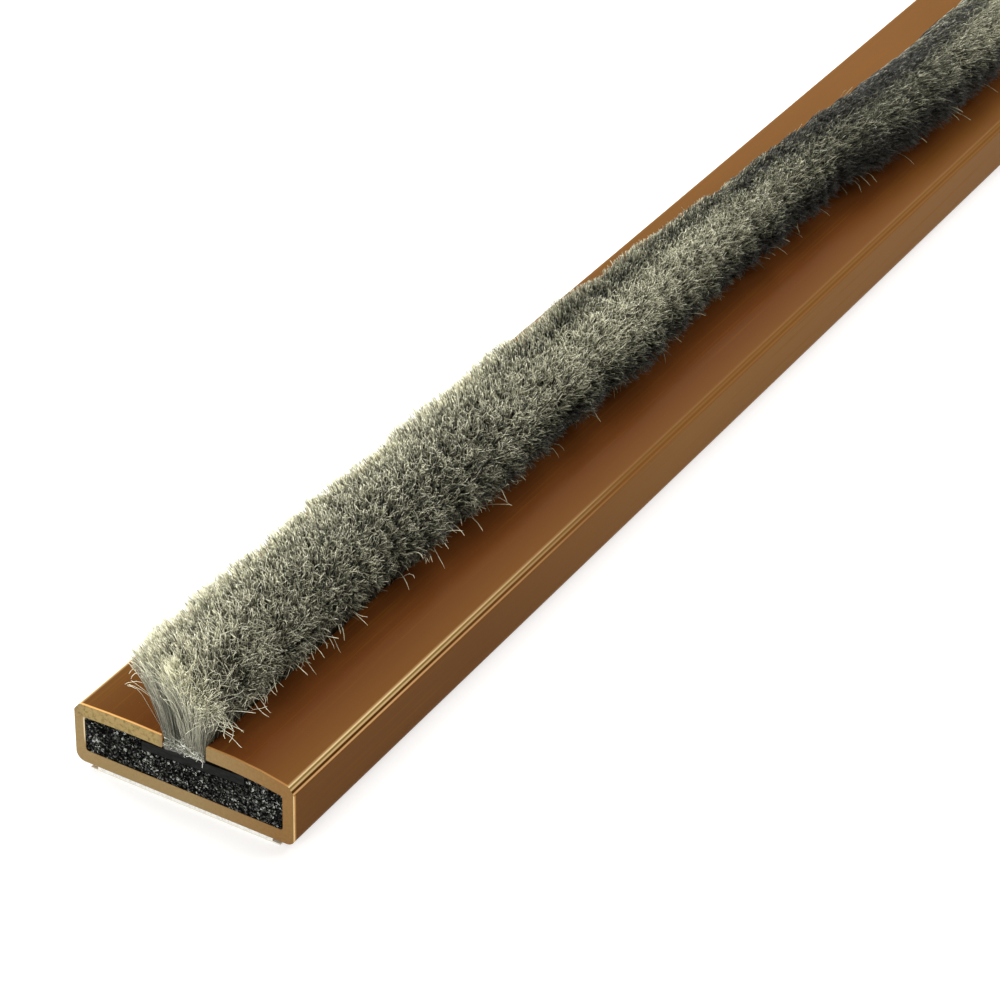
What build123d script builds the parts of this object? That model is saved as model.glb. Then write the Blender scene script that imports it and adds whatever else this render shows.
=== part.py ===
from build123d import *
import os

# A fire and smoke seal for a door edge: a rigid PVC casing holds an intumescent core, and a pile
# insert with two rows of brush runs in the slot along its top. The back is self-adhesive.
#
# Frame: X across the seal, Y along it, Z up out of the back. The origin is the centre of the back,
# on the release liner. The freshly cut end is at -Y. Sections are drawn in the casing's own
# coordinates: across, and up from the casing's back.

os.makedirs("parts", exist_ok=True)

# ---- driving dimensions, mm ----
length = 210.0  # a fifth of the 1050 mm stock length

tape_width = 12.0
tape_thickness = 0.2
liner_width = 13.0
liner_thickness = 0.1

casing_width = 15.0
corner_height = 4.06  # where each lip meets its chamfer
outer_radius = 0.6  # back corners
chamfer_run = 0.38
chamfer_drop = 0.5
chamfer_rounding = 0.14
back_wall = 0.85
left_wall = 0.7
right_wall = 0.8
inner_radius = 0.2
lip_rounding = 0.08

slot_width = 3.0
slot_middle = 0.1
slot_edge_reach = 0.06  # past the slot's sides, to pick the lips' free edges
left_lip_height = 4.13  # free edge of the lip, which stays nearly flat
left_lip_crown = 4.16
left_lip_thickness = 0.86
right_lip_height = 4.58  # free edge of the lip, which bows up
right_lip_crown = 4.48
right_lip_middle = 4.6  # the bow is fullest nearer the corner
right_lip_thickness = 0.95
right_corner_rise = 0.05  # of its underside, above the left corner's

core_gap = 0.03  # core to casing, a push fit

insert_tilt = 3.0  # degrees, the insert lies against both lips
backing_width = 7.0
backing_thickness = 0.6
backing_middle = 0.65
backing_top = 3.333  # at its middle
backing_rounding = 0.08
running_gap = 0.05  # backing to core
groove_top = 10.0  # the core's groove is cut up to well above the casing

base_width = 2.8
base_height = 0.5

row_gap = 0.06  # between the two rows of pile
pile_root = 3.92
crown_height = 10.25  # 6.1 mm of pile above the casing
crown_rounding = 0.2
left_shoulder_height = 9.5
left_shoulder_run = 0.9
right_shoulder_height = 8.9
right_tip_height = 6.6
right_shoulder_run = 1.0
lip_clearance = 0.25  # the pile clears the lips by this much where it leaves the slot

# How the brush leans, from the cut end: distance along the seal, then how far across the tips of
# the left and the right row reach.
brush_stations = [
    (0.0, -3.0, 3.2),
    (30.0, -3.1, 3.8),
    (60.0, -1.2, 3.6),
    (90.0, 0.8, 5.7),
    (120.0, 0.2, 5.3),
    (160.0, -2.0, 4.0),
    (length, -3.0, 3.2),
]

# ---- worked out ----
half_width = casing_width / 2
casing_base = liner_thickness + tape_thickness
side_top = corner_height - chamfer_drop
slot_left = slot_middle - slot_width / 2
slot_right = slot_middle + slot_width / 2
cavity_left = left_wall - half_width
cavity_right = half_width - right_wall
left_lip_underside = left_lip_height - left_lip_thickness
right_lip_underside = right_lip_height - right_lip_thickness
left_corner_underside = corner_height - left_lip_thickness
right_corner_underside = left_corner_underside + right_corner_rise
left_lip_middle = (slot_left - half_width + chamfer_run) / 2


def section_plane(distance):
    """The plane across the seal at a distance from the cut end, looking out of that end."""
    origin = (0, distance - length / 2, casing_base)
    return Plane(origin=origin, x_dir=(1, 0, 0), z_dir=(0, -1, 0))


def cavity_section():
    """The space inside the casing, under the lips and the slot."""
    with BuildSketch() as cavity:
        with BuildLine():
            floor = Line((cavity_left, back_wall), (cavity_right, back_wall))
            wall = Line(floor @ 1, (cavity_right, right_corner_underside))
            right_underside = ThreePointArc(
                wall @ 1,
                (right_lip_middle, right_lip_crown - right_lip_thickness),
                (slot_right, right_lip_underside),
            )
            mouth = Line(right_underside @ 1, (slot_left, left_lip_underside))
            left_underside = ThreePointArc(
                mouth @ 1,
                (left_lip_middle, left_lip_crown - left_lip_thickness),
                (cavity_left, left_corner_underside),
            )
            Line(left_underside @ 1, floor @ 0)
        make_face()
        corners = cavity.vertices().group_by(Axis.X)
        fillet(corners[0] + corners[-1], inner_radius)
    return cavity.sketch


# ---- casing: one extruded PVC profile, a channel with a slot along its top ----
with BuildPart() as casing:
    with BuildSketch(section_plane(length)) as casing_section:
        with BuildLine():
            back = Line((-half_width, 0), (half_width, 0))
            right_side = Line(back @ 1, (half_width, side_top))
            right_chamfer = Line(right_side @ 1, (half_width - chamfer_run, corner_height))
            right_lip = ThreePointArc(
                right_chamfer @ 1,
                (right_lip_middle, right_lip_crown),
                (slot_right, right_lip_height),
            )
            slot_mouth = Line(right_lip @ 1, (slot_left, left_lip_height))
            left_lip = ThreePointArc(
                slot_mouth @ 1,
                (left_lip_middle, left_lip_crown),
                (chamfer_run - half_width, corner_height),
            )
            left_chamfer = Line(left_lip @ 1, (-half_width, side_top))
            Line(left_chamfer @ 1, back @ 0)
        make_face()
        fillet(casing_section.vertices().group_by(Axis.Y)[0], outer_radius)
        shoulders = casing_section.vertices().filter_by(
            lambda v: v.Y > side_top - chamfer_drop and abs(v.X) > half_width - 2 * chamfer_run
        )
        fillet(shoulders, chamfer_rounding)
        add(cavity_section(), mode=Mode.SUBTRACT)
        with Locations((slot_middle, back_wall)):
            Rectangle(
                slot_width, casing_width, align=(Align.CENTER, Align.MIN), mode=Mode.SUBTRACT
            )
        lip_edges = casing_section.vertices().filter_by(
            lambda v: abs(v.X - slot_middle) < slot_width / 2 + slot_edge_reach and v.Y > back_wall
        )
        fillet(lip_edges, lip_rounding)
    extrude(amount=length)

# ---- intumescent core: fills the casing, with a groove along its top for the insert ----
insert_frame = Location((backing_middle, backing_top, 0), (0, 0, insert_tilt))
with BuildPart() as intumescent_core:
    with BuildSketch(section_plane(length)):
        add(cavity_section())
        offset(amount=-core_gap)
        with Locations(insert_frame * Location((0, -backing_thickness - running_gap, 0))):
            Rectangle(
                backing_width + 2 * running_gap,
                groove_top,
                align=(Align.CENTER, Align.MIN),
                mode=Mode.SUBTRACT,
            )
    extrude(amount=length)

# ---- pile insert: a stiff backing strip under both lips, and the woven base in the slot ----
with BuildPart() as pile_backing:
    with BuildSketch(section_plane(length)) as backing_section:
        with Locations(insert_frame):
            Rectangle(backing_width, backing_thickness, align=(Align.CENTER, Align.MAX))
        fillet(backing_section.vertices(), backing_rounding)
    extrude(amount=length)

with BuildPart() as pile_base:
    with BuildSketch(section_plane(length)):
        with Locations(insert_frame * Location((slot_middle - backing_middle, 0, 0))):
            Rectangle(base_width, base_height, align=(Align.CENTER, Align.MIN))
    extrude(amount=length)


# ---- two rows of pile: simple closed solids that fan out of the slot and lean with the brush ----
def crown_middle(left_tip, right_tip):
    """Where the two rows part at the crown."""
    return (left_tip + right_tip) / 2


def left_row_outline(left_tip, right_tip):
    """The left row's section, from its root in the slot up to the crown and the left shoulder."""
    parting = crown_middle(left_tip, right_tip)
    return [
        (slot_middle - base_width / 2, pile_root),
        (slot_middle - row_gap / 2, pile_root),
        (parting - row_gap / 2, crown_height),
        (left_tip + left_shoulder_run, crown_height - crown_rounding),
        (left_tip, left_shoulder_height),
        (slot_middle - base_width / 2, left_lip_height + lip_clearance),
    ]


def right_row_outline(left_tip, right_tip):
    """The right row's section, which spreads wider and lower, over the bowed lip."""
    parting = crown_middle(left_tip, right_tip)
    return [
        (slot_middle + row_gap / 2, pile_root),
        (slot_middle + base_width / 2, pile_root),
        (slot_middle + base_width / 2, right_lip_height + lip_clearance),
        (right_tip, right_tip_height),
        (right_tip - right_shoulder_run, right_shoulder_height),
        (parting + row_gap / 2, crown_height),
    ]


def pile_row(outline):
    """One row of pile, lofted in straight steps between the brush stations."""
    with BuildPart() as row:
        for distance, left_tip, right_tip in brush_stations:
            with BuildSketch(section_plane(distance)):
                with BuildLine():
                    Polyline(*outline(left_tip, right_tip), close=True)
                make_face()
        loft(ruled=True)
    return row


pile_row_left = pile_row(left_row_outline)
pile_row_right = pile_row(right_row_outline)

# ---- self-adhesive back: foam tape with its release liner ----
with BuildPart() as adhesive_tape:
    with BuildSketch(Plane.XY.offset(liner_thickness)):
        Rectangle(tape_width, length)
    extrude(amount=tape_thickness)

with BuildPart() as release_liner:
    with BuildSketch(Plane.XY):
        Rectangle(liner_width, length)
    extrude(amount=liner_thickness)

pieces = {
    "casing": casing,
    "intumescent_core": intumescent_core,
    "pile_backing": pile_backing,
    "pile_base": pile_base,
    "pile_row_left": pile_row_left,
    "pile_row_right": pile_row_right,
    "adhesive_tape": adhesive_tape,
    "release_liner": release_liner,
}
for name, piece in pieces.items():
    piece.part.label = name
    export_step(piece.part, f"parts/{name}.step")
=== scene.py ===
"""Looks of a brush pile door seal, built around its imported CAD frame. Metres, in the row frame."""

import math
from types import SimpleNamespace

import bmesh
import bpy
import numpy as np
from mathutils import Matrix, Vector


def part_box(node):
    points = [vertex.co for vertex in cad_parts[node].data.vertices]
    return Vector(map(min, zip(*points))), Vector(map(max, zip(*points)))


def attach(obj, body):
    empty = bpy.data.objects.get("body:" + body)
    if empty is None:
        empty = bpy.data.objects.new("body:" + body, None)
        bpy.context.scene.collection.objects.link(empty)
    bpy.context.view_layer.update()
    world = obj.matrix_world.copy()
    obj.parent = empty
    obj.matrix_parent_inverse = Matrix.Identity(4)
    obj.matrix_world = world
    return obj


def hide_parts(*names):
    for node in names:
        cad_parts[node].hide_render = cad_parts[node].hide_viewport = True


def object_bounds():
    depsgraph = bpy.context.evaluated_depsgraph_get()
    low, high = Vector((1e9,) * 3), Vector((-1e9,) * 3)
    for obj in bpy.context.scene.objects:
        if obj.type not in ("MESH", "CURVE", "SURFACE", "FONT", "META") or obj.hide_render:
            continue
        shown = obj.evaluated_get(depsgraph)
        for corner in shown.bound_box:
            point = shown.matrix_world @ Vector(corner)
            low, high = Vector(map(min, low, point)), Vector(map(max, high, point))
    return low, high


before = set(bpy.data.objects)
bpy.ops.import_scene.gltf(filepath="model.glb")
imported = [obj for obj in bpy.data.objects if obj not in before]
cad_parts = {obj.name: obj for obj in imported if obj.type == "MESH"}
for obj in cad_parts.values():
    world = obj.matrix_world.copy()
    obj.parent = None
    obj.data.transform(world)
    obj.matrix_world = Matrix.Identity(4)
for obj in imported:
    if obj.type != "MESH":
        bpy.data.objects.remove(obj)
cad_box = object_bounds()

MM = 0.001
CASING_LOW, CASING_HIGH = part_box("casing")
SLOT_LOW, SLOT_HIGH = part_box("pile_base")
END_Y = CASING_LOW.y  # the cut end that the camera sees
LENGTH_MM = (CASING_HIGH.y - CASING_LOW.y) / MM
rng = np.random.default_rng(15)

# Camera, lights and floor.
CAMERA_TURN = (math.radians(30.1), math.radians(33.48), math.radians(1.56))  # azimuth, elevation, roll
CAMERA_PLACE = Vector((0.0922, END_Y - 0.1245, CASING_LOW.z + 0.1228))
FOCAL_LENGTH, SENSOR_WIDTH = 125.3, 36.0  # mm
NEAR_CLIP, FAR_CLIP = 0.01, 50.0
LIT_POINT = Vector((0, END_Y + 0.04, 0.005))  # what the lights face
LIGHTS = (  # name, place from the lit point, size, watts
    ("key", (-0.60, 0.14, 0.40), 0.34, 5.8),
    ("rim", (-0.68, 0.58, 0.17), 0.30, 3.0),
    ("back", (-0.42, 0.68, 0.36), 0.34, 0.45),
    ("top", (-0.08, 0.50, 0.54), 0.40, 3.0),
    ("fill", (0.22, 0.22, 0.35), 0.20, 0.6),
    ("front", (-0.12, -0.68, 0.22), 0.30, 2.0),
)
FLOOR_HALF = 3.0  # half the floor's side
FLOOR_GAP = 0.02 * MM  # the seal stands clear of the floor by this much


# ---------------------------------------------------------------- camera, lights and floor
def add_camera():
    """Looks down on the cut end, with the seal running away to the upper right."""
    azimuth, elevation, roll = CAMERA_TURN
    back = Vector((
        math.sin(azimuth) * math.cos(elevation),
        -math.cos(azimuth) * math.cos(elevation),
        math.sin(elevation),
    ))
    level = Vector((0, 0, 1)).cross(back).normalized()
    upright = back.cross(level)
    right = level * math.cos(roll) + upright * math.sin(roll)
    up = upright * math.cos(roll) - level * math.sin(roll)
    camera_data = bpy.data.cameras.new("camera")
    camera_data.sensor_width = SENSOR_WIDTH
    camera_data.lens = FOCAL_LENGTH
    camera_data.clip_start = NEAR_CLIP
    camera_data.clip_end = FAR_CLIP
    camera = bpy.data.objects.new("camera", camera_data)
    bpy.context.scene.collection.objects.link(camera)
    place = Matrix((right, up, back)).transposed().to_4x4()
    place.translation = CAMERA_PLACE
    camera.matrix_world = place
    bpy.context.scene.camera = camera


def add_area_light(name, place, target, size, power):
    """A white disk light that faces its target."""
    data = bpy.data.lights.new(name, "AREA")
    data.shape = "DISK"
    data.size = size
    data.energy = power
    light = bpy.data.objects.new(name, data)
    bpy.context.scene.collection.objects.link(light)
    light.location = place
    light.rotation_mode = "QUATERNION"
    light.rotation_quaternion = (target - place).to_track_quat("-Z", "Y")


def add_surroundings():
    """Pale surroundings, a soft key on the left, weaker soft lights around, and a floor that glows a
    little, like a light table."""
    world = bpy.data.worlds.new("surroundings")
    world.use_nodes = True
    background = world.node_tree.nodes["Background"]
    background.inputs["Color"].default_value = (1.0, 0.94, 0.83, 1.0)
    background.inputs["Strength"].default_value = 0.45
    bpy.context.scene.world = world
    for name, offset, size, power in LIGHTS:
        add_area_light(name, LIT_POINT + Vector(offset), LIT_POINT, size, power)

    floor_mesh = bpy.data.meshes.new("floor")
    corners = [(x * FLOOR_HALF, y * FLOOR_HALF, 0) for x, y in ((-1, -1), (1, -1), (1, 1), (-1, 1))]
    floor_mesh.from_pydata(corners, [], [(0, 1, 2, 3)])
    floor = bpy.data.objects.new("floor", floor_mesh)
    bpy.context.scene.collection.objects.link(floor)
    floor.location.z = cad_box[0].z - FLOOR_GAP
    nodes = NodeTree("floor_white")
    nodes.shader.inputs["Base Color"].default_value = (0.5, 0.5, 0.5, 1)
    nodes.shader.inputs["Roughness"].default_value = 0.9
    nodes.shader.inputs["Emission Color"].default_value = (1, 1, 1, 1)
    nodes.shader.inputs["Emission Strength"].default_value = 0.66
    floor_mesh.materials.append(nodes.material)

    bpy.context.scene.view_settings.view_transform = "Standard"


# ---------------------------------------------------------------- material helpers
class NodeTree:
    """A material with a Principled shader, and short ways to add the nodes that feed it."""

    def __init__(self, name):
        self.material = bpy.data.materials.new(name)
        self.material.use_nodes = True
        self.tree = self.material.node_tree
        self.shader = self.tree.nodes["Principled BSDF"]

    def add(self, kind, inputs=None, **settings):
        """A new node, with inputs fed by name or number, and its settings."""
        node = self.tree.nodes.new("ShaderNode" + kind)
        for key, value in settings.items():
            setattr(node, key, value)
        for key, value in (inputs or {}).items():
            self.feed(node.inputs[key], value)
        return node

    def feed(self, socket, value):
        """Links a socket to another node's output, or gives it a plain value."""
        if isinstance(value, bpy.types.NodeSocket):
            self.tree.links.new(value, socket)
        else:
            socket.default_value = value

    def set(self, **values):
        """Feeds the shader's own sockets, named with underscores for spaces."""
        for key, value in values.items():
            self.feed(self.shader.inputs[key.replace("_", " ")], value)

    def place(self, scale=(1, 1, 1)):
        """Object coordinates, stretched by scale."""
        coordinates = self.add("TexCoord")
        mapping = self.add("Mapping", {"Vector": coordinates.outputs["Object"], "Scale": scale})
        return mapping.outputs["Vector"]

    def noise(self, per_mm, scale=(1, 1, 1), detail=3.0, roughness=0.5):
        """Noise with so many features to the millimetre."""
        made = self.add("TexNoise", {
            "Vector": self.place(scale), "Scale": per_mm / MM, "Detail": detail, "Roughness": roughness,
        })
        return made.outputs["Fac"]

    def maths(self, operation, first, second=0.0, third=None):
        """One sum on two or three values."""
        made = self.add("Math", operation=operation)
        self.feed(made.inputs[0], first)
        self.feed(made.inputs[1], second)
        if third is not None:
            self.feed(made.inputs[2], third)
        return made.outputs[0]

    def product(self, *factors):
        """The factors multiplied together."""
        value = factors[0]
        for factor in factors[1:]:
            value = self.maths("MULTIPLY", value, factor)
        return value

    def step(self, value, low, high):
        """0 at low, 1 at high, and held past both. Low may be the larger of the two."""
        made = self.add("MapRange", {"Value": value, "From Min": low, "From Max": high})
        return made.outputs["Result"]

    def ramp(self, value, *stops):
        """Colours by value: each stop is a position and a colour."""
        made = self.add("ValToRGB", {"Fac": value})
        elements = made.color_ramp.elements
        while len(elements) < len(stops):
            elements.new(0.5)
        for element, (position, colour) in zip(elements, stops):
            element.position = position
            element.color = (*colour, 1.0)
        return made.outputs["Color"]

    def bands(self, value, *stops):
        """Colours by value, and how much of each shows: each stop is a position, a colour and a share."""
        colour = self.ramp(value, *((position, tone) for position, tone, _ in stops))
        for element, (_, _, share) in zip(colour.node.color_ramp.elements, stops):
            element.alpha = share
        return colour, colour.node.outputs["Alpha"]

    def mix(self, share, first, second, blend="MIX"):
        """Blends two colours. A Mix node has sockets for each data type, and the colours' come last."""
        made = self.add("Mix", data_type="RGBA", blend_type=blend)
        self.feed(made.inputs[0], share)
        for socket, value in zip((made.inputs[6], made.inputs[7]), (first, second)):
            self.feed(socket, value if isinstance(value, bpy.types.NodeSocket) else (*value, 1.0))
        return made.outputs[2]

    def bump(self, height, depth_mm, below=None):
        """Bumps of a height field, on top of those below."""
        inputs = {"Height": height, "Strength": 1.0, "Distance": depth_mm * MM}
        if below is not None:
            inputs["Normal"] = below
        return self.add("Bump", inputs).outputs["Normal"]

    def axis(self, output, index):
        """One component of a texture coordinate."""
        coordinates = self.add("TexCoord")
        parts = self.add("SeparateXYZ", {"Vector": coordinates.outputs[output]})
        return parts.outputs[index]


# ---------------------------------------------------------------- materials of the CAD pieces
# How the casing's painted light and shade change along it: each pair is where a change starts and ends,
# from the cut end.
OVERHUNG_FROM, OVERHUNG_UNTIL = (22 * MM, 42 * MM), (86 * MM, 66 * MM)
OVERHANG_SHADOW_SHIFT = 0.6 * MM  # in between, the painted shadow of the brush on the right lip reaches this much farther out
# Farther along, the left lip is lighter: painted light for its sheen at grazing angles.
LEFT_LIP_PAINTED_LIGHT_RUN = (45 * MM, 80 * MM)
# The sides are lighter farther along: painted light.
SIDES_PAINTED_LIGHT_RUN = (20 * MM, 45 * MM)
# How the chamfers' painted highlight and shade lines fade away from the cut end.
PAINTED_BANDS_FADE = (38 * MM, 10 * MM)
LEAST_PAINTED_BANDS = 0.10  # what is left of the chamfers' painted highlight and shade lines after they fade
LEFT_LIP_PAINTED_LIGHT = (0.150, 0.066, 0.0180)
NEAR_SIDE, FAR_SIDE_PAINTED_LIGHT = (0.135, 0.057, 0.016), (0.196, 0.092, 0.027)
DRAW_LINE, SPECK, BURR_HIGHLIGHT = (0.19, 0.072, 0.010), (0.21, 0.085, 0.015), (0.72, 0.38, 0.125)
BURR_FROM_END = (0.16, 0.10)  # the burr's painted highlight starts and is full this far from each end, mm
# The sawn ends. Torn grain multiplies their colour.
CUT_LEFT, CUT_RIGHT, TORN = (0.315, 0.224, 0.108), (0.262, 0.147, 0.056), (0.80, 0.78, 0.74)
CUT_LEFT_LIP, DIRT = (0.335, 0.245, 0.105), (0.13, 0.095, 0.036)
# Painted highlights along the cut's inner and outer edges.
CUT_INNER_EDGE_HIGHLIGHT, CUT_OUTER_EDGE_HIGHLIGHT = (0.62, 0.52, 0.34), (0.66, 0.48, 0.24)
FLAKE_WANDER = 0.16 * MM  # how far the graphite flakes' outlines wander from straight


def lip_colour(nodes, across, along):
    """The lips' skin: painted shade, darkest beside and under the brush, and painted light towards the
    outer edges.
    """
    overhang_shadow = nodes.product(nodes.step(along, *OVERHUNG_FROM), nodes.step(along, *OVERHUNG_UNTIL))
    shifted = nodes.maths("MULTIPLY_ADD", overhang_shadow, -OVERHANG_SHADOW_SHIFT, across)
    # Painted shade near the brush and painted light out towards the lips' edges; where the brush
    # overhangs, the painted shadow is pushed outwards.
    lips = nodes.ramp(
        nodes.step(shifted, CASING_LOW.x, CASING_HIGH.x),
        (0.03, (0.126, 0.056, 0.0150)), (0.30, (0.104, 0.036, 0.0088)), (0.41, (0.104, 0.036, 0.0088)),
        (0.60, (0.134, 0.043, 0.0108)), (0.78, (0.134, 0.043, 0.0108)), (0.95, (0.190, 0.078, 0.0190)),
    )
    # The left lip gets painted light farther along.
    left_lip = nodes.step(across, -1.0 * MM, -1.5 * MM)
    return nodes.mix(nodes.product(nodes.step(along, *LEFT_LIP_PAINTED_LIGHT_RUN), left_lip), lips, LEFT_LIP_PAINTED_LIGHT)


def chamfer_painted_highlights(nodes, skin, across, along, height):
    """Painted highlights and painted shade lines along the two long edges of each chamfer, where they
    would catch light. The lines fade away from the cut end.
    """
    # This runs down and out round a chamfer: out from the middle less up, as a share of 4 mm.
    round_corner = nodes.maths("SUBTRACT", nodes.maths("ABSOLUTE", across), height)
    round_corner = nodes.maths("MULTIPLY", round_corner, 1 / (4 * MM))
    cream, olive, buff = (0.78, 0.58, 0.31), (0.23, 0.155, 0.050), (0.58, 0.40, 0.19)
    shade, pale = (0.07, 0.024, 0.003), (0.58, 0.33, 0.15)
    # Cream, buff and pale bands are painted highlights; olive and shade bands are painted shade.
    painted_bands, amount = nodes.bands(
        round_corner,
        (0.640, buff, 0.0), (0.670, buff, 0.55), (0.686, cream, 1.0), (0.702, cream, 1.0),
        (0.714, olive, 1.0), (0.744, olive, 1.0), (0.756, buff, 1.0), (0.782, buff, 1.0),
        (0.796, shade, 1.0), (0.838, shade, 1.0), (0.852, pale, 1.0), (0.880, pale, 1.0),
        (0.892, shade, 0.6), (0.904, shade, 0.0),
    )
    upper_half = nodes.step(height, 2.0 * MM, 2.2 * MM)
    bands_share = nodes.step(along, *PAINTED_BANDS_FADE)
    bands_share = nodes.maths("MULTIPLY_ADD", bands_share, 1 - LEAST_PAINTED_BANDS, LEAST_PAINTED_BANDS)
    return nodes.mix(nodes.product(amount, upper_half, bands_share), skin, painted_bands)


def skin_colour(nodes, across, along, height, draw_lines):
    """The extruded skin: lips and sides coloured apart with painted light and shade, with clouds, fine
    draw lines, specks and a burr at each end painted as a highlight.
    """
    # The sides lighten farther along with painted light.
    sides = nodes.mix(nodes.step(along, *SIDES_PAINTED_LIGHT_RUN), NEAR_SIDE, FAR_SIDE_PAINTED_LIGHT)
    # Sides and lips take separate colours by which way they face: painted light and shade on one plastic.
    faces_up = nodes.step(nodes.axis("Normal", 2), 0.3, 0.7)
    skin = nodes.mix(faces_up, sides, lip_colour(nodes, across, along))
    cloud = nodes.noise(0.12, (1, 0.15, 1), 4.0)
    clouded = nodes.ramp(cloud, (0.3, (0.93, 0.92, 0.90)), (0.7, (1.07, 1.08, 1.10)))
    skin = nodes.mix(1.0, skin, clouded, "MULTIPLY")
    skin = nodes.mix(nodes.step(draw_lines, 0.58, 0.85), skin, DRAW_LINE)
    speck = nodes.noise(14.0, (1, 1, 1), 1.0)
    skin = nodes.mix(nodes.step(speck, 0.70, 0.80), skin, SPECK)
    from_middle = nodes.maths("ABSOLUTE", nodes.axis("Object", 1))
    # The burr at each end is painted as a highlight, a bright line where the edge catches light; weaker
    # on the right.
    burr = nodes.step(from_middle, *((LENGTH_MM / 2 - gap) * MM for gap in BURR_FROM_END))
    weaker = nodes.maths("MULTIPLY_ADD", nodes.step(across, 1.8 * MM, 3.5 * MM), -0.5, 1.0)
    skin = nodes.mix(nodes.product(burr, weaker), skin, BURR_HIGHLIGHT)
    return chamfer_painted_highlights(nodes, skin, across, along, height)


def sawn_colour(nodes, across, height, grain):
    """The sawn ends: pale, torn plastic, browner to the right, with painted highlights along two edges
    and a dirty left lip.
    """
    cut = nodes.mix(nodes.step(across, 0.5 * MM, 6.5 * MM), CUT_LEFT, CUT_RIGHT)
    torn = nodes.mix(1.0, cut, TORN, "MULTIPLY")
    cut = nodes.mix(nodes.step(grain, 0.25, 0.75), torn, cut)
    left_lip = nodes.product(
        nodes.step(across, -7.15 * MM, -6.8 * MM),
        nodes.step(across, -1.55 * MM, -1.75 * MM),
        nodes.step(height, 3.50 * MM, 3.60 * MM),
    )
    # Thin painted highlights where the cut meets the left cavity wall and the right outer side.
    inner_edge_highlight = nodes.product(
        nodes.step(across, -6.92 * MM, -6.86 * MM),
        nodes.step(across, -6.70 * MM, -6.80 * MM),
        nodes.step(height, 1.6 * MM, 2.2 * MM),
        nodes.step(height, 3.55 * MM, 3.45 * MM),
    )
    outer_edge_highlight = nodes.product(
        nodes.step(across, 7.40 * MM, 7.44 * MM),
        nodes.step(height, 3.95 * MM, 3.85 * MM),
    )
    cut = nodes.mix(left_lip, cut, CUT_LEFT_LIP)
    cut = nodes.mix(inner_edge_highlight, cut, CUT_INNER_EDGE_HIGHLIGHT)
    cut = nodes.mix(outer_edge_highlight, cut, CUT_OUTER_EDGE_HIGHLIGHT)
    left_corner = nodes.product(
        nodes.step(across, -6.4 * MM, -6.9 * MM),
        nodes.step(height, 3.2 * MM, 3.6 * MM),
    )
    dirt = nodes.step(nodes.noise(3.2, (1, 1, 1), 4.0, 0.7), 0.48, 0.70)
    dirty = nodes.product(dirt, nodes.maths("MAXIMUM", left_lip, left_corner))
    return nodes.mix(dirty, cut, DIRT)


def casing_material():
    """Extruded brown PVC: satin skin with fine draw lines, and paler, rougher sawn ends."""
    nodes = NodeTree("brown_pvc")
    across, height = nodes.axis("Object", 0), nodes.axis("Object", 2)
    along = nodes.maths("ADD", nodes.axis("Object", 1), -END_Y)  # from the cut end
    facing = nodes.maths("ABSOLUTE", nodes.axis("Normal", 1))
    sawn = nodes.step(facing, 0.8, 0.9)
    draw_lines = nodes.noise(9.0, (1, 0.008, 1), 2.0)
    grain = nodes.noise(5.0, (1, 1, 1), 4.0, 0.65)
    skin = skin_colour(nodes, across, along, height, draw_lines)
    nodes.set(Base_Color=nodes.mix(sawn, skin, sawn_colour(nodes, across, height, grain)))
    gloss = nodes.step(nodes.noise(3.0, (1, 0.03, 1), 3.0), 0.2, 0.8)
    skin_roughness = nodes.maths("MULTIPLY_ADD", gloss, 0.06, 0.20)
    nodes.set(Roughness=nodes.maths("MULTIPLY_ADD", sawn, 0.35, skin_roughness))
    nodes.shader.inputs["Specular Tint"].default_value = (1.0, 0.62, 0.30, 1.0)
    nodes.shader.inputs["IOR"].default_value = 1.05
    lines = nodes.bump(draw_lines, 0.003)
    nodes.set(Normal=nodes.bump(nodes.maths("MULTIPLY", grain, sawn), 0.03, lines))
    return nodes.material


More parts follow.
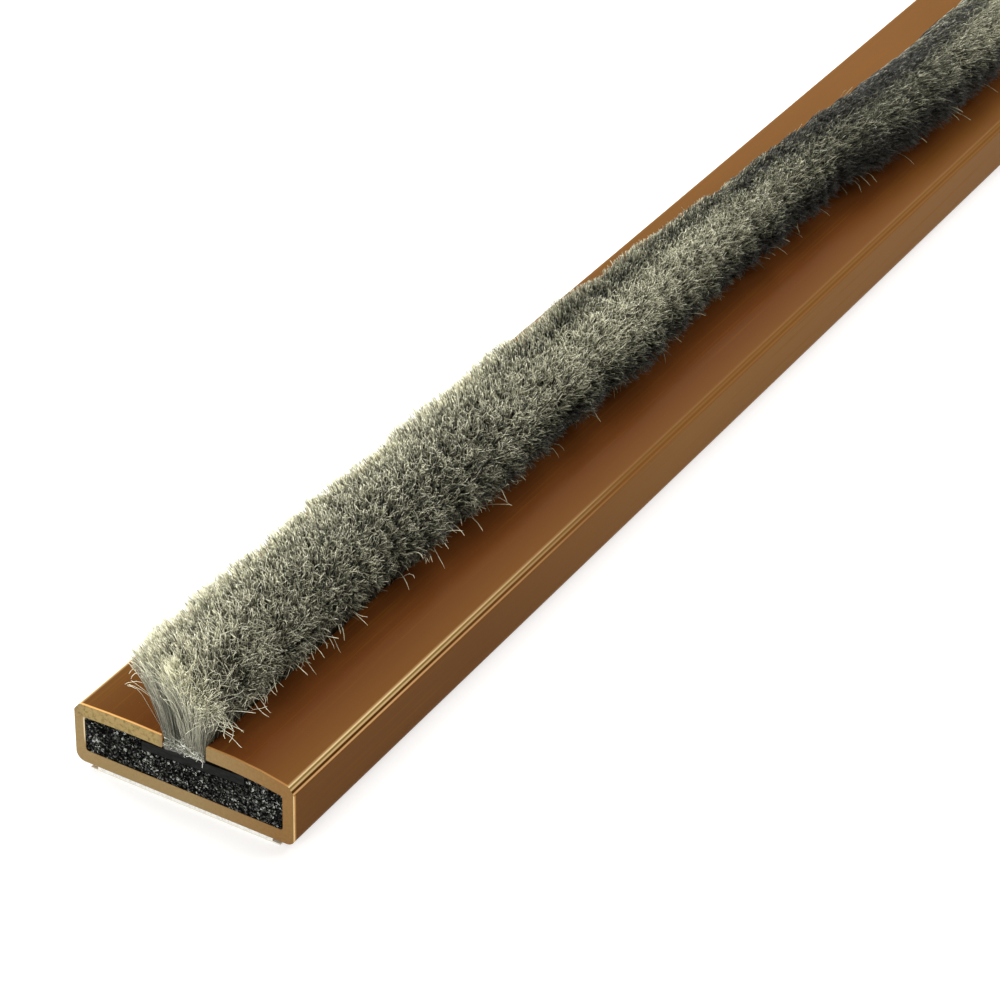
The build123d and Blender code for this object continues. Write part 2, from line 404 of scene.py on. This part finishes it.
def core_material():
    """Black intumescent compound, full of graphite flakes whose glints are painted into the colour, so
    they shine at all angles.
    """
    nodes = NodeTree("graphite_core")
    wander = nodes.add("TexNoise", {"Vector": nodes.place(), "Scale": 9.0 / MM, "Detail": 2.0})
    centred = {0: wander.outputs["Color"], 1: (0.5, 0.5, 0.5)}
    shift = nodes.add("VectorMath", centred, operation="SUBTRACT")
    wandered = {0: shift.outputs[0], 1: (FLAKE_WANDER,) * 3, 2: nodes.place()}
    moved = nodes.add("VectorMath", wandered, operation="MULTIPLY_ADD").outputs[0]
    small = nodes.add("TexVoronoi", {"Vector": moved, "Scale": 11.5 / MM, "Randomness": 1.0})
    large = nodes.add("TexVoronoi", {"Vector": moved, "Scale": 5.5 / MM, "Randomness": 1.0})
    small_parts = nodes.add("SeparateColor", {"Color": small.outputs["Color"]})
    large_parts = nodes.add("SeparateColor", {"Color": large.outputs["Color"]})
    soot = nodes.step(nodes.noise(1.1, (1, 1, 1), 4.0, 0.6), 0.25, 0.75)
    small_glint = nodes.maths("MULTIPLY", small_parts.outputs[0], 0.78)
    glint = nodes.maths("MULTIPLY_ADD", soot, 0.24, small_glint)
    within = nodes.maths("MULTIPLY", glint, 0.08)
    flake = nodes.maths("MULTIPLY_ADD", large_parts.outputs[0], 0.90, within)
    bright_flake = nodes.maths("MULTIPLY", flake, nodes.step(flake, 0.88, 0.92))
    glint = nodes.maths("MAXIMUM", glint, bright_flake)
    # The flakes' pattern is their own; their bright colour is painted glint.
    nodes.set(Base_Color=nodes.ramp(
        glint,
        (0.36, (0.0003, 0.0003, 0.0003)), (0.56, (0.006, 0.006, 0.0055)),
        (0.72, (0.030, 0.031, 0.028)), (0.86, (0.115, 0.118, 0.108)), (0.96, (0.46, 0.48, 0.45)),
    ))
    nodes.set(Roughness=nodes.maths("MULTIPLY_ADD", glint, -0.3, 0.8))
    nodes.shader.inputs["Specular IOR Level"].default_value = 0.02
    facets = nodes.bump(small_parts.outputs[1], 0.06)
    nodes.set(Normal=nodes.bump(nodes.noise(10.0, (1, 1, 1), 3.0), 0.03, facets))
    return nodes.material


def backing_material():
    """Smooth dark polypropylene strip with faint ribs along it."""
    nodes = NodeTree("backing_strip")
    cloud = nodes.noise(4.0, (0.35, 0.3, 1.6), 4.0, 0.7)
    nodes.set(Base_Color=nodes.ramp(cloud, (0.35, (0.001, 0.001, 0.001)), (0.72, (0.014, 0.015, 0.014))))
    nodes.shader.inputs["Specular IOR Level"].default_value = 0.08
    ribs = nodes.noise(6.0, (1, 0.02, 1), 2.0)
    nodes.set(Roughness=nodes.maths("MULTIPLY_ADD", ribs, 0.2, 0.45))
    nodes.set(Normal=nodes.bump(ribs, 0.01))
    return nodes.material


def tape_material():
    """White closed-cell foam, its cells showing along the cut edges, with painted shade in the cells'
    hollows.
    """
    nodes = NodeTree("foam_tape")
    cells = nodes.add("TexVoronoi", {"Vector": nodes.place(), "Scale": 9.0 / MM})
    hollow = nodes.step(cells.outputs["Distance"], 0.0, 0.6)
    # The cells' middles are darker: painted shade in their hollows.
    nodes.set(Base_Color=nodes.ramp(hollow, (0.0, (0.55, 0.54, 0.50)), (1.0, (0.80, 0.80, 0.77))))
    nodes.set(Roughness=nodes.maths("MULTIPLY_ADD", hollow, 0.2, 0.6))
    nodes.set(Normal=nodes.bump(hollow, 0.02))
    return nodes.material


def liner_material():
    """Waxed release paper with a faint fibre texture."""
    nodes = NodeTree("liner_paper")
    pulp = nodes.noise(4.0, (1, 0.5, 1), 5.0, 0.6)
    nodes.set(Base_Color=nodes.ramp(pulp, (0.3, (0.70, 0.67, 0.58)), (0.7, (0.80, 0.78, 0.70))))
    nodes.set(Roughness=nodes.maths("MULTIPLY_ADD", pulp, 0.25, 0.25))
    nodes.set(Normal=nodes.bump(pulp, 0.006))
    return nodes.material


def dress(node, material):
    """A CAD node gets its finished material."""
    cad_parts[node].material_slots[0].material = material


# ---------------------------------------------------------------- pieces with rough sawn ends
END_FACING = 0.9  # a face belongs to an end when its normal runs along the seal by more than this


def cut_into_grid(mesh, faces, low, high, pitch):
    """Splits end faces along a square grid across the seal, and returns the faces that result."""
    for axis in (0, 2):
        for step in range(1, int((high[axis] - low[axis]) / pitch)):
            point, normal = Vector(), Vector()
            point[axis] = low[axis] + step * pitch
            normal[axis] = 1.0
            edges = dict.fromkeys(e for f in faces for e in f.edges)
            corners = dict.fromkeys(v for f in faces for v in f.verts)
            made = bmesh.ops.bisect_plane(
                mesh, geom=[*faces, *edges, *corners], plane_co=point, plane_no=normal
            )
            faces = [g for g in made["geom"] if isinstance(g, bmesh.types.BMFace)]
    return faces


def rough_ended(node, pitch, depth):
    """A copy of a CAD node's mesh whose flat ends are broken up into grains."""
    mesh = bmesh.new()
    mesh.from_mesh(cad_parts[node].data)
    low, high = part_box(node)
    aside = pitch / 6
    for side in (-1, 1):
        ends = [f for f in mesh.faces if f.normal.y * side > END_FACING]
        gridded = cut_into_grid(mesh, ends, low, high, pitch)
        for corner in dict.fromkeys(v for f in gridded for v in f.verts):
            if all(f.normal.y * side > END_FACING for f in corner.link_faces):
                corner.co += Vector((
                    rng.normal(0, aside), -side * abs(rng.normal(0, depth)), rng.normal(0, aside),
                ))
    rough = bpy.data.meshes.new(node + "_rough")
    mesh.to_mesh(rough)
    mesh.free()
    rough.materials.clear()
    return rough


# ---------------------------------------------------------------- fibres
def ripple(x, y, wavelength, seed, waves=14):
    """A smooth random field over a plane, about -1 to 1, and its slopes."""
    draw = np.random.default_rng(seed)
    value, slope_x, slope_y = (np.zeros_like(x) for _ in range(3))
    for _ in range(waves):
        angle = draw.uniform(0, 2 * math.pi)
        pitch = 2 * math.pi / (wavelength * draw.uniform(0.7, 1.5))
        kx, ky = pitch * math.cos(angle), pitch * math.sin(angle)
        turn = kx * x + ky * y + draw.uniform(0, 2 * math.pi)
        value += np.sin(turn)
        slope_x += math.cos(angle) * np.cos(turn)
        slope_y += math.sin(angle) * np.cos(turn)
    share = 1 / math.sqrt(waves / 2)
    return value * share, slope_x * share, slope_y * share


def bent_lines(root, control, tip, places, curl, kink):
    """Points along each fibre, in mm: a plain bend from root to tip, a coil that opens along it, and a
    kinked last millimetre."""
    t = places[None, :, None]
    root, control, tip = root[:, None], control[:, None], tip[:, None]
    lines = (1 - t) ** 2 * root + 2 * t * (1 - t) * control + t ** 2 * tip
    one, two, sway = rng.normal(0, 1, (3, len(root), 1, 3))
    turn = 2 * math.pi * t * rng.uniform(0.7, 1.3, (len(root), 1, 1))
    coil = (one * (1 - np.cos(turn)) + two * np.sin(turn)) * t
    wander = 0.3 * coil + 0.4 * t ** 2 * sway
    kinks = rng.normal(0, 1, (len(root), len(places), 3)) * t ** 12 * np.array([1.0, 1.0, 0.35])
    return lines + curl[:, None, None] * wander + kink[:, None, None] * kinks


def tube_parts(lines, places, radius):
    """Corners and faces of closed three-sided fibres along lines."""
    count, rings = lines.shape[:2]
    along = np.gradient(lines, axis=1)
    along /= np.linalg.norm(along, axis=2, keepdims=True) + TINY
    aside = np.cross(along, np.array([0.31, 0.93, 0.19]))
    aside /= np.linalg.norm(aside, axis=2, keepdims=True) + TINY
    across = np.cross(along, aside)
    reach = radius[:, None] * np.where(places > 0.99, TIP_TAPER, 1.0)
    start = rng.uniform(0, 2 * math.pi, count)
    corners = np.empty((count, rings, 3, 3))
    for k in range(3):
        angle = (start + k * 2 * math.pi / 3)[:, None, None]
        corners[:, :, k] = lines + reach[:, :, None] * (np.cos(angle) * aside + np.sin(angle) * across)

    first = (np.arange(count) * rings * 3)[:, None, None]
    side = np.arange(3)[None, None, :]
    after = (side + 1) % 3
    low = first + (np.arange(rings - 1) * 3)[None, :, None]
    quads = np.stack([low + side, low + after, low + 3 + after, low + 3 + side], -1).reshape(-1, 4)
    root_caps = first[:, 0] + np.array([2, 1, 0])
    tip_caps = first[:, 0] + (rings - 1) * 3 + np.array([0, 1, 2])
    return corners.reshape(-1, 3), quads, np.concatenate([root_caps, tip_caps])


def fibre_mesh(name, *bundles):
    """One mesh of fibres. Each bundle has lines in mm, the places of their points from root to tip,
    and the fibres' radii, tones and how far they are pale from the root on."""
    total = sum(len(lines) for lines, *_ in bundles)
    columns = math.ceil(math.sqrt(total / 3))
    rows = math.ceil(total / columns)
    vertices, quads, caps, tones, paleness, uvs = ([] for _ in range(6))
    fibres, points = 0, 0
    for lines, places, radius, tone, pale in bundles:
        count, rings = lines.shape[:2]
        corners, sides, ends = tube_parts(lines, places, radius)
        vertices.append(corners * MM)
        quads.append(sides + points)
        caps.append(ends + points)
        tones.append(np.repeat(tone, rings * 3))
        height = np.tile(np.repeat(places, 3), count)
        # Paleness from root to tip; in the pile the material turns it into painted shade low down and
        # painted light near the tips.
        paleness.append(height + (1 - height) * np.repeat(pale, rings * 3))
        # Each fibre has its own cell in the map, so that a bake keeps each fibre's own colour.
        cell = np.repeat(np.arange(count) + fibres, rings * 3)
        u = (cell % columns + np.tile([0.25, 0.5, 0.75], count * rings)) / columns
        uvs.append(np.stack([u, (cell // columns + 0.1 + 0.8 * height) / rows], 1))
        fibres += count
        points += len(corners)

    mesh = bpy.data.meshes.new(name)
    mesh.vertices.add(points)
    mesh.vertices.foreach_set("co", np.concatenate(vertices).astype(np.float32).ravel())
    quads, caps = np.concatenate(quads), np.concatenate(caps)
    loops = np.concatenate([quads.ravel(), caps.ravel()]).astype(np.int32)
    mesh.loops.add(len(loops))
    mesh.loops.foreach_set("vertex_index", loops)
    starts = np.concatenate([np.arange(len(quads)) * 4, quads.size + np.arange(len(caps)) * 3])
    mesh.polygons.add(len(starts))
    mesh.polygons.foreach_set("loop_start", starts.astype(np.int32))
    mesh.polygons.foreach_set("use_smooth", np.ones(len(starts), bool))
    for attribute, values in (("tone", tones), ("along", paleness)):
        made = mesh.attributes.new(attribute, "FLOAT", "POINT")
        made.data.foreach_set("value", np.concatenate(values).astype(np.float32))
    layer = mesh.uv_layers.new(name="OFBake")
    layer.data.foreach_set("uv", np.concatenate(uvs)[loops].astype(np.float32).ravel())
    mesh.update()
    mesh.validate()
    return mesh


def fibre_material(name, stops, roughness, sheen):
    """Pile fibre: its colour runs from root to tip, and from fibre to fibre."""
    nodes = NodeTree(name)
    tone = nodes.add("Attribute", attribute_name="tone").outputs["Fac"]
    along = nodes.add("Attribute", attribute_name="along").outputs["Fac"]
    shade = nodes.ramp(
        tone,
        (0.0, (0.03, 0.031, 0.027)), (0.5, (0.59, 0.605, 0.53)), (1.0, (1.65, 1.65, 1.70)),
    )
    nodes.set(Base_Color=nodes.mix(1.0, nodes.ramp(along, *stops), shade, "MULTIPLY"))
    nodes.shader.inputs["Roughness"].default_value = roughness
    nodes.shader.inputs["Sheen Weight"].default_value = sheen
    return nodes.material


def add_piece(mesh, material, body, slot, *replaced):
    """A finished piece that rides on a body and stands in for the CAD nodes that it replaces."""
    mesh.materials.append(material)
    piece = bpy.data.objects.new(mesh.name, mesh)
    bpy.context.scene.collection.objects.link(piece)
    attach(piece, body)
    if replaced:
        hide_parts(*replaced)


# ---------------------------------------------------------------- both rows of pile
BRUSH = np.array([  # distance from the cut end, then how far across the left and right tips reach, mm
    (0, -2.8, 2.8),
    (4, -3.3, 3.1),
    (12, -3.1, 3.0),
    (18, -3.2, 3.2),
    (30, -3.2, 3.7),
    (45, -2.5, 3.8),
    (60, -1.3, 3.5),
    (75, -0.3, 3.8),
    (88, 0.8, 5.6),
    (105, 0.7, 5.4),
    (125, 0.0, 5.0),
    (150, -1.6, 4.0),
    (180, -2.7, 3.4),
    (206, -3.2, 3.0),
    (210, -2.8, 2.8),
])
EDGE_RIPPLES = (  # wavelength, how far the crown's left and right edges wander, mm, and the seed
    (9.0, 0.12, 0.15, 3),
    (3.0, 0.06, 0.13, 4),
    (1.3, 0.03, 0.09, 5),
)
FIBRES_PER_MM = 640  # in both rows together
END_FIBRES = 1500  # loose strands more at each cut end
END_REACH = 0.7  # how far in those strands mostly start, mm
LOOSE_REACH = 0.9  # how far in from a cut end fibres stand loose, mm
LEFT_SHARE = 0.32  # of the fibres are the left row's
THIN_MIDDLE, THIN_REACH, THINNED = 2.0, 1.5, 0.70  # mm from a cut end, mm, and the share taken out
SLOT_X = (SLOT_LOW.x / MM + 0.12, SLOT_HIGH.x / MM - 0.06)
ROOT_Z = SLOT_LOW.z / MM + 0.25
LIP_Z = CASING_HIGH.z / MM
CROWN_Z = cad_box[1].z / MM
FLAT_SHARE = 0.34  # of the fibres; the others' tips round over the right side
FLAT_WIDTH = 0.42  # of the crown's width
ROUND_TURN = 1.5  # how far the crown turns over on the right, radians
ROUND_FALL = 4.2  # the right edge's tips stand so far below the crown, mm
END_RISE, END_RISE_REACH = 2.6, 1.6  # the right edge stands up by this at a cut end, mm
LEFT_EDGE_FALL = 0.5  # of the outermost tips on the left, mm
STRETCHES = 14  # meshes along each row
INNER_PLACES = np.array([0.0, 0.68, 0.965, 1.0])
OUTER_PLACES = np.array([0.0, 0.22, 0.42, 0.58, 0.72, 0.84, 0.94, 1.0])
TIP_TAPER = 0.6  # the tip's radius, as a share of the fibre's
TINY = 1e-9  # keeps a length from being nought
RADII = (0.013, 0.023)  # mm
TONE_PLACES = (0.0, 0.1, 0.25, 0.45, 0.7, 0.9, 1.0)  # across the crown, left to right
# Tones across the crown carry painted light and shade: near the cut end lighter on the left, where the
# key falls, and darker on the right.
NEAR_TONES_WITH_PAINTED_LIGHT = (0.94, 0.84, 0.62, 0.37, 0.33, 0.26, 0.08)
FAR_TONES_WITH_PAINTED_LIGHT = (0.45, 0.33, 0.12, 0.69, 0.63, 0.02, 0.00)
FARTHER_FROM, FARTHER_RUN = 35, 11  # where the far tones take over on the left, and over how far, mm
# Painted shade on the brush between these places along it.
PAINTED_SHADE_PLACES, PAINTED_SHADE_BY = (58, 76, 88, 102), (0, 0.50, 0.50, 0.10)  # mm from the cut end


def rise(value, start, run):
    """0 up to a start, 1 from a run past it."""
    return np.clip((value - start) / run, 0, 1)


def fade(gap, reach):
    """1 at a cut end, fading away from it."""
    return np.exp(-gap / reach)


def from_end(along):
    """How far the nearer cut end is."""
    return np.minimum(along, LENGTH_MM - along)


def crown(along, spread):
    """Where tips lie across and up, in mm: flat on the left, rounded over and down on the right."""
    left = np.interp(along, BRUSH[:, 0], BRUSH[:, 1])
    right = np.interp(along, BRUSH[:, 0], BRUSH[:, 2])
    for wavelength, on_left, on_right, seed in EDGE_RIPPLES:
        left += on_left * ripple(along, 0 * along, wavelength, seed)[0]
        right += on_right * ripple(along, 0 * along, wavelength, seed + 10)[0]
    shoulder = left + FLAT_WIDTH * (right - left)
    flat = np.clip(spread / FLAT_SHARE, 0, 1)
    turn = rise(spread, FLAT_SHARE, 1 - FLAT_SHARE) * ROUND_TURN
    across = left + (shoulder - left) * flat + (right - shoulder) * np.sin(turn)
    fall = ROUND_FALL - END_RISE * fade(from_end(along), END_RISE_REACH)
    return across, CROWN_Z - LEFT_EDGE_FALL * (1 - flat) ** 4 - fall * (1 - np.cos(turn))


def sow_pile():
    """Where every fibre of both rows stands: along the seal, in mm, and across the crown."""
    along = np.concatenate([
        rng.uniform(0, LENGTH_MM, int(FIBRES_PER_MM * LENGTH_MM)),
        rng.exponential(END_REACH, END_FIBRES),
        LENGTH_MM - rng.exponential(END_REACH, END_FIBRES),
    ])
    spread = rng.uniform(0, 1, len(along))  # 0 at the crown's left edge, 1 at its right
    # Behind its end bunch, the right row is thin and curly.
    thin = np.exp(-((from_end(along) - THIN_MIDDLE) / THIN_REACH) ** 2) * rise(spread, 0.5, 0.15)
    kept = rng.uniform(0, 1, len(along)) > THINNED * thin
    pile = SimpleNamespace(along=along[kept], spread=spread[kept], thin=thin[kept])
    pile.count = len(pile.along)
    pile.is_left = pile.spread < LEFT_SHARE + rng.normal(0, 0.05, pile.count)
    pile.end_gap = from_end(pile.along)
    pile.end_side = np.where(pile.along < LENGTH_MM / 2, -1.0, 1.0)
    # The strands at a cut end have nothing to lean on.
    pile.loose = fade(pile.end_gap, LOOSE_REACH)
    return pile


def place_tips(pile):
    """The tips lie on the crown, lean out at the cut ends, and gather in small and large tufts."""
    tip = np.empty((pile.count, 3))
    tip[:, 0], tip[:, 2] = crown(pile.along, pile.spread)
    tip[:, 0] += pile.loose * np.where(pile.is_left, 0.15, 0.35) * rng.normal(0, 1, pile.count)
    splay = np.interp(pile.spread, (0.1, 0.5), (0.2, 1.1))
    lean = 0.5 * fade(pile.end_gap, 9.0) + splay * fade(pile.end_gap, 1.8)
    lean += pile.loose * rng.normal(0, 0.35, pile.count)
    tip[:, 1] = pile.along + pile.end_side * lean
    tip[:, 2] -= np.abs(rng.normal(0, 0.10, pile.count)) + pile.loose * rng.uniform(0, 1.2, pile.count)
    pile.clump, clump_x, clump_y = ripple(tip[:, 0], tip[:, 1], 0.5, 21, 40)
    pile.tuft, tuft_x, tuft_y = ripple(tip[:, 0], tip[:, 1], 1.7, 22, 30)
    gather = 0.4 + 2.2 * fade(pile.end_gap, 1.5)
    tip[:, 0] += gather * (0.04 * clump_x + 0.03 * tuft_x)
    tip[:, 1] += gather * (0.04 * clump_y + 0.03 * tuft_y)
    tip[:, 2] += 0.03 * pile.clump + 0.04 * pile.tuft
    pile.tip = tip


def place_roots(pile):
    """The roots are packed in the slot. Above the lips, each fibre bends round its control point."""
    is_left, loose, count = pile.is_left, pile.loose, pile.count
    root = np.empty((count, 3))
    in_row = np.where(is_left, pile.spread / 0.40 * 0.42, 1 - (1 - pile.spread) / 0.68 * 0.45)
    in_row = np.clip(in_row + rng.normal(0, 0.03, count), 0, 1)
    root[:, 0] = SLOT_X[0] + (SLOT_X[1] - SLOT_X[0]) * in_row
    root[:, 1] = pile.along
    root[:, 2] = ROOT_Z

    over = rise(pile.spread, 0.72, 0.28) * (1 - loose)  # fibres that arch over and point down
    bent = np.where(is_left, 0.18, 0.05 + 0.60 * over)
    above_lips = np.clip(pile.tip[:, 2] - LIP_Z - 1, 0, None)
    control = np.empty((count, 3))
    control[:, 0] = root[:, 0] + bent * (pile.tip[:, 0] - root[:, 0])
    control[:, 0] += (0.08 + 0.20 * loose) * rng.normal(0, 1, count)
    control[:, 1] = pile.along + 0.15 * (pile.tip[:, 1] - pile.along) + rng.normal(0, 0.12, count)
    control[:, 1] += pile.end_side * loose * rng.uniform(0, 0.5, count)
    control[:, 2] = LIP_Z + 0.9 + (0.8 + loose) * rng.uniform(0, 1, count)
    control[:, 2] += np.where(is_left, 2.8 - 1.4 * loose, 0.28 * above_lips + 1.5 * over)
    pile.root, pile.control = root, control


def lead_astray(pile):
    """A few fibres stick out: some anywhere, some left of the left row's end, some over the right lip."""
    tip, spread, end_gap = pile.tip, pile.spread, pile.end_gap
    wild = rng.uniform(0, 1, pile.count) < 0.003 + 0.02 * pile.loose
    tip[wild] += rng.normal(0, 0.5, (wild.sum(), 3))
    astray = pile.is_left & (spread < 0.2) & (end_gap < 0.8) & (rng.uniform(0, 1, pile.count) < 0.05)
    tip[astray] += rng.uniform((-1.3, -0.5, -2.6), (-0.1, 0.5, -0.2), (astray.sum(), 3))
    drooping = 0.006 + 0.02 * np.exp(-(end_gap / 30) ** 2) + 0.13 * fade(end_gap, 3.0)
    droop = (spread > 0.90) & (rng.uniform(0, 1, pile.count) < drooping)
    tip[droop] += rng.uniform((-0.2, -1.0, -1.3), (0.9, 0.2, -0.1), (droop.sum(), 3))
    tip[droop, 1] = np.clip(tip[droop, 1], -0.3, LENGTH_MM + 0.3)
    tip[:, 2] = np.clip(tip[:, 2], LIP_Z + 0.2, CROWN_Z + 0.3)
    pile.stray = wild | droop | astray


def curl_pile(pile):
    """How much each fibre coils along its length, and how much its tip is kinked, in mm."""
    inward = rise(pile.spread, 0, 0.3)
    curl = np.where(pile.stray, 0.60, rng.uniform(0.08, 0.20, pile.count) * (0.4 + 0.6 * inward))
    curl += 0.8 * pile.thin
    pile.curl = curl * (1 + 0.8 * fade(pile.end_gap, 1.5) - 0.7 * pile.loose)
    kinked = 0.03 + 0.15 * rise(pile.spread, 0.1, 0.4) * (1 - 0.7 * pile.loose)
    pile.kink = np.where(pile.stray, 0.03, kinked)


def colour_pile(pile):
    """Each fibre's tone, 0 dark to 1 pale, how far it is pale from the root on, and its radius in mm.
    Tone and paleness carry painted light and shade by where a fibre stands.
    """
    is_left, spread, end_gap = pile.is_left, pile.spread, pile.end_gap
    # Painted light and shade across the crown, near and far.
    near_tone = np.interp(spread, TONE_PLACES, NEAR_TONES_WITH_PAINTED_LIGHT)
    far_tone = np.interp(spread, TONE_PLACES, FAR_TONES_WITH_PAINTED_LIGHT)
    # The change starts nearer the cut end on the right.
    farther = np.clip((pile.along - FARTHER_FROM + FARTHER_RUN * spread) / FARTHER_RUN, 0, 1)
    tone = near_tone + (far_tone - near_tone) * farther
    variety = 0.48 - 0.14 * farther - 0.22 * rise(spread, 0.75, 0.2)
    tone += variety * rng.normal(0, 1, pile.count)
    tone += 0.02 * pile.clump + 0.05 * pile.tuft
    # Painted light on the fibres near the cut ends, on both rows.
    painted_end_light = 0.55 * fade(end_gap, 8.0) + 0.15 * fade(end_gap, 1.5)
    tone += np.where(is_left, 0.45 * fade(end_gap, 4.0), painted_end_light)
    # Painted shade along the brush, farther from the cut end.
    tone -= np.interp(pile.along, PAINTED_SHADE_PLACES, PAINTED_SHADE_BY)
    # Stray fibres get a pale tone: painted light.
    pile.tone = np.where(pile.stray, 1.0 - 0.5 * farther, np.clip(tone, 0, 1))

    # Fibres on the crown's left edge, at the right row's cut end, and frayed or stray ones are pale down
    # to their roots: painted light.
    lit_left_edge = 0.7 * np.clip(1 - spread / 0.3, 0, 1) * (1 - pile.loose)
    pale = np.where(is_left, lit_left_edge, 0.9 * fade(end_gap, 1.2))
    frayed = is_left & (pile.loose * rng.uniform(0, 1, pile.count) > 0.6)
    pile.pale = np.where(pile.stray | frayed, 0.85, pale)
    pile.radius = rng.uniform(*RADII, pile.count) * (1 - 0.35 * pile.loose)


def add_pile():
    """Both rows, fibre by fibre. Fibres that can be seen from the side have more points."""
    pile = sow_pile()
    for finish in (place_tips, place_roots, lead_astray, curl_pile, colour_pile):
        finish(pile)
    outer = (pile.spread < 0.08) | (pile.spread > 0.92) | (pile.end_gap < 2.5) | (pile.thin > 0.2)
    outer |= pile.stray
    # From root to tip: painted shade deep in the pile, and painted light over the last tenth or so, at
    # the tips.
    stops = (
        (0.0, (0.10, 0.098, 0.075)), (0.50, (0.14, 0.137, 0.104)), (0.88, (0.20, 0.196, 0.147)),
        (0.965, (0.46, 0.452, 0.342)), (1.0, (0.74, 0.728, 0.555)),
    )
    material = fibre_material("pile_fibre", stops, 0.4, 0.0)
    stretch = (pile.root[:, 1] / LENGTH_MM * STRETCHES).astype(int)
    stretch = np.clip(stretch, 0, STRETCHES - 1)
    for points in (pile.root, pile.control, pile.tip):
        points[:, 1] += END_Y / MM
    for row, in_row in (("left", pile.is_left), ("right", ~pile.is_left)):
        for part in range(STRETCHES):
            bundles = []
            for places, kind in ((OUTER_PLACES, outer), (INNER_PLACES, ~outer)):
                pick = in_row & (stretch == part) & kind
                lines = bent_lines(
                    pile.root[pick], pile.control[pick], pile.tip[pick], places,
                    pile.curl[pick], pile.kink[pick],
                )
                looks = pile.radius[pick], pile.tone[pick], pile.pale[pick]
                bundles.append((lines, places, *looks))
            mesh = fibre_mesh(f"pile_{row}_{part + 1}", *bundles)
            add_piece(mesh, material, "pile_insert", "pile_fibre", f"pile_row_{row}")


# ---------------------------------------------------------------- woven base of the pile
THREADS_PER_END = 1500
THREAD_RADII = (0.015, 0.028)  # mm
BASE_WIDTH = 2.7  # that the loose threads spread over, mm


def base_material():
    """Pale woven ribbon: warp along the seal, weft across it."""
    nodes = NodeTree("woven_base")
    warp = nodes.noise(7.0, (1, 0.08, 1), 2.0)
    weft = nodes.noise(7.0, (0.08, 1, 1), 2.0)
    weave = nodes.maths("MAXIMUM", warp, weft)
    nodes.set(Base_Color=nodes.ramp(weave, (0.35, (0.05, 0.05, 0.045)), (0.75, (0.24, 0.24, 0.21))))
    nodes.shader.inputs["Roughness"].default_value = 0.8
    nodes.set(Normal=nodes.bump(weave, 0.06))
    return nodes.material


def add_base():
    """The woven base, and loose pale threads of it that stand out at both cut ends."""
    mesh = rough_ended("pile_base", 0.10 * MM, 0.05 * MM)
    add_piece(mesh, base_material(), "pile_insert", "woven_base", "pile_base")

    count = 2 * THREADS_PER_END
    side = np.where(np.arange(count) < THREADS_PER_END, -1.0, 1.0)
    root = np.empty((count, 3))
    root[:, 0] = rng.uniform(SLOT_X[0] + 0.05, SLOT_X[1] - 0.05, count)
    root[:, 1] = side * (LENGTH_MM / 2 - rng.uniform(0.0, 0.8, count))
    from_left = (root[:, 0] - SLOT_X[0]) / BASE_WIDTH
    tilt = (SLOT_HIGH.z - SLOT_LOW.z) / MM - 0.5  # the base's left edge is higher by this
    root[:, 2] = SLOT_LOW.z / MM + 0.22 + tilt * (1 - from_left)
    root[:, 2] += rng.uniform(0, 0.8, count)
    reach = rng.normal(0, 1, (count, 3)) * np.array([0.45, 0.18, 0.22])
    tip = root + reach + np.array([0.0, 0.0, 0.12])
    tip[:, 1] = side * np.minimum(np.abs(tip[:, 1]), LENGTH_MM / 2 + 0.22)
    tip[:, 0] = np.clip(tip[:, 0], SLOT_X[0], SLOT_X[1])
    control = (root + tip) / 2 + rng.normal(0, 0.14, (count, 3))
    places = np.linspace(0, 1, 6)
    lines = bent_lines(root, control, tip, places, np.full(count, 0.10), np.zeros(count))
    lines[:, :, 0] = np.clip(lines[:, :, 0], SLOT_X[0], SLOT_X[1])
    tone = np.clip(0.45 + 0.3 * from_left + rng.normal(0, 0.2, count), 0, 1)
    radius = rng.uniform(*THREAD_RADII, count)
    fuzz = fibre_mesh("pile_base_fuzz", (lines, places, radius, tone, np.zeros(count)))
    stops = ((0.0, (0.62, 0.62, 0.55)), (1.0, (0.85, 0.86, 0.80)))
    add_piece(fuzz, fibre_material("base_thread", stops, 0.5, 0.2), "pile_insert", "woven_base")


# ---------------------------------------------------------------- making it all
add_camera()
add_surroundings()
dress("casing", casing_material())
dress("pile_backing", backing_material())
dress("adhesive_tape", tape_material())
dress("release_liner", liner_material())
core = rough_ended("intumescent_core", 0.08 * MM, 0.035 * MM)
add_piece(core, core_material(), "casing", "intumescent_graphite", "intumescent_core")
add_base()
add_pile()
